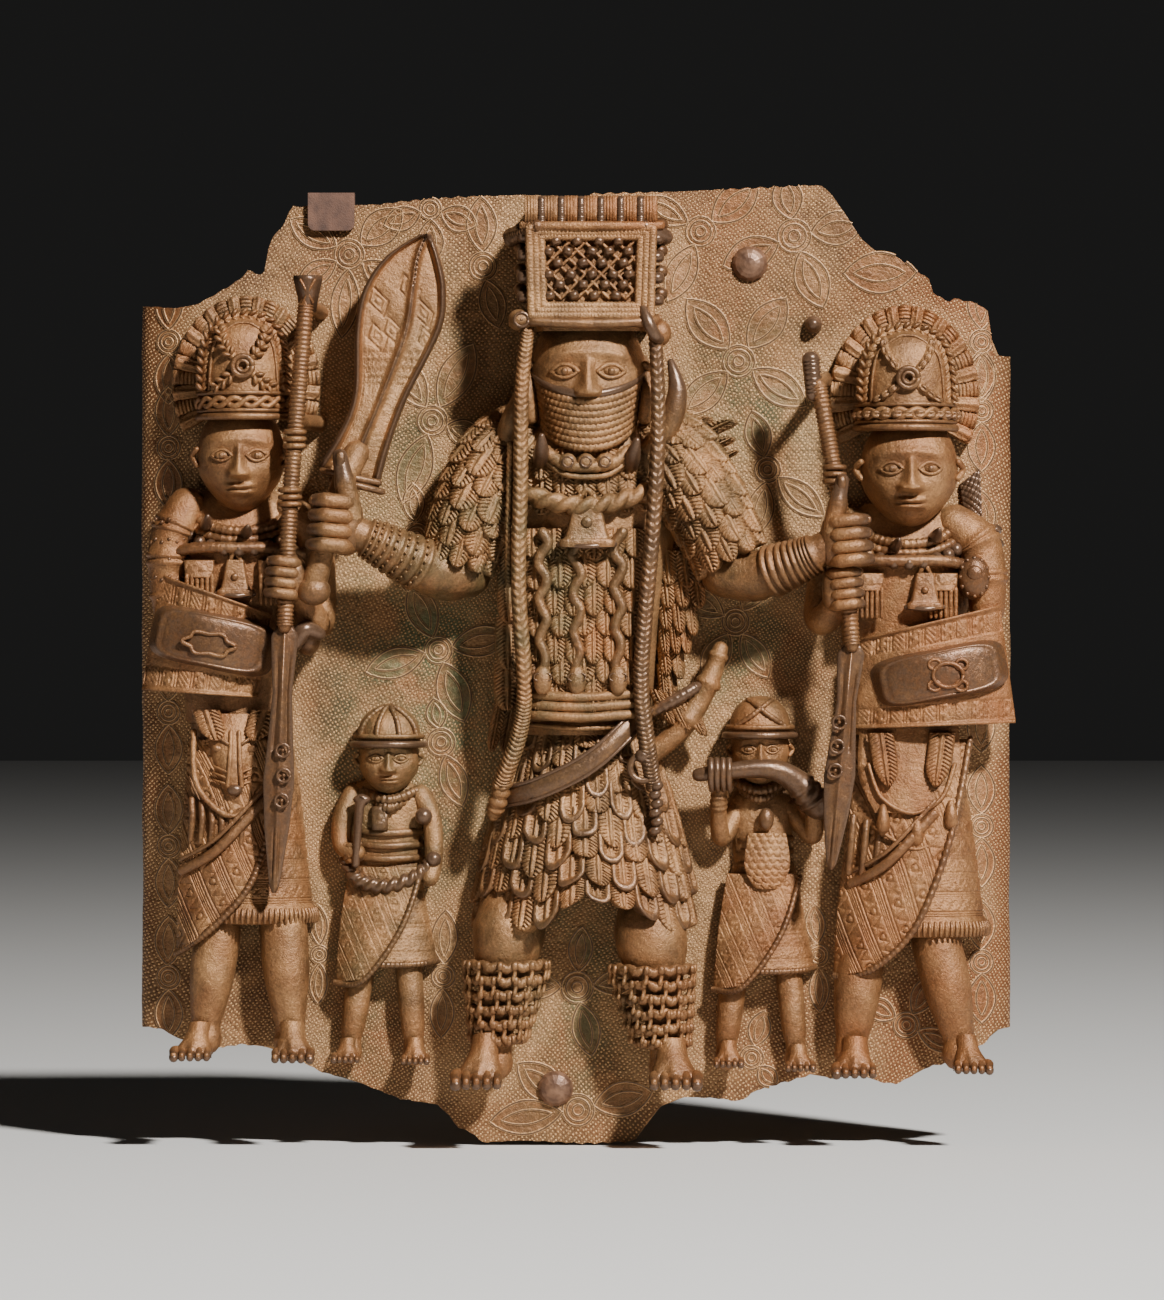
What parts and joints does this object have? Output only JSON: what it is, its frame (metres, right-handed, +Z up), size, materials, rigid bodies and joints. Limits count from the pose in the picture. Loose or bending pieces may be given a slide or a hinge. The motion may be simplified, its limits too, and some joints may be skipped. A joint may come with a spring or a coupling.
{
  "type": "relief plaque",
  "caption": "Cast brass wall plaque in high relief: a chief with a raised blade stands between armed warriors and small attendants on a field engraved with flowers.",
  "frame": {"origin": "middle of the flat back of the sheet, where the plaque lies against what it is fixed to", "axes": "+Z up, the relief faces -Y, +X to the right of someone who looks at the relief"},
  "size_m": [0.405, 0.0831, 0.4454],
  "materials": {
    "patinated_brass": "old brown patina, darker and smoother on high points, dusty in the recesses",
    "stud_metal": "dull grey-brown patina",
    "clip_lining": "worn brown lining"
  },
  "bodies": {
    "root": {"relief_plaque": "patinated_brass", "upper_stud": "stud_metal", "lower_stud": "stud_metal", "mounting_clip": "clip_lining"}
  },
  "joints": []
}
